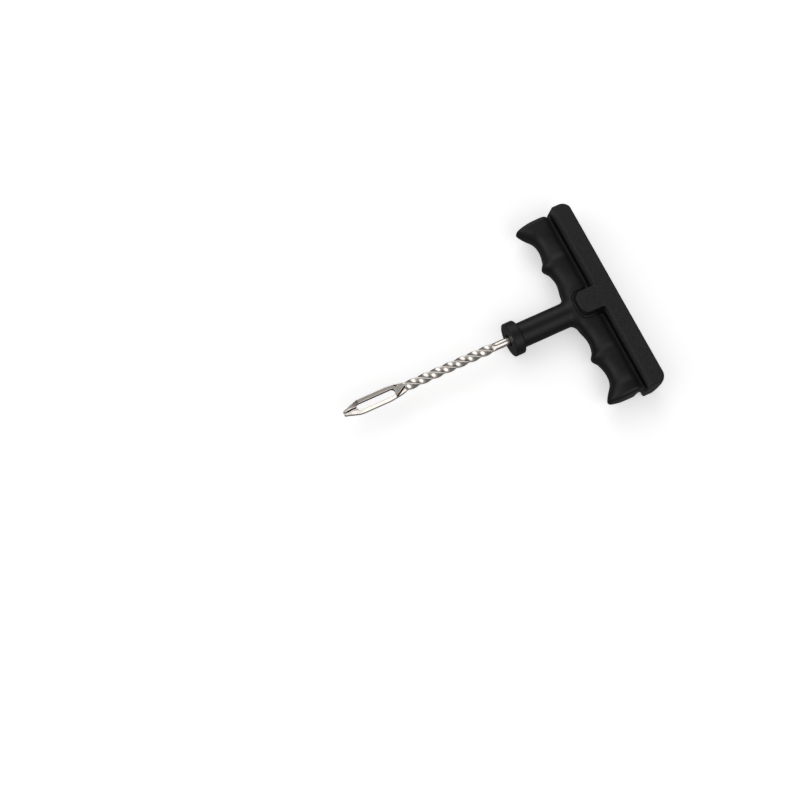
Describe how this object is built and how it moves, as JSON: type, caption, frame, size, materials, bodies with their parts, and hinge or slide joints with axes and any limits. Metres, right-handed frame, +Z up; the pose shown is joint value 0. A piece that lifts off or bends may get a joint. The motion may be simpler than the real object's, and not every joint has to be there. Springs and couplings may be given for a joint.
{
  "type": "tyre plug insertion tool",
  "caption": "T-handled hand tool whose split-eye steel needle pushes a plug string through a puncture in a tyre.",
  "frame": {"origin": "centre of the bounding box in plan, on the surface the tool lies on", "axes": "+Z up through the handle's thickness, Y along the T-handle's bar, and the needle lies along X with its split eye towards -X"},
  "size_m": [0.1444, 0.1006, 0.0185],
  "materials": {
    "black_plastic": "moulded black plastic, finely spark-textured on the bar, smoother and slightly glossy on the grip, neck and collar",
    "plated_steel": "bright plated forged steel, slightly worn and brushed along its length"
  },
  "bodies": {
    "root": {"handle": "black_plastic", "needle": "plated_steel"}
  },
  "joints": []
}
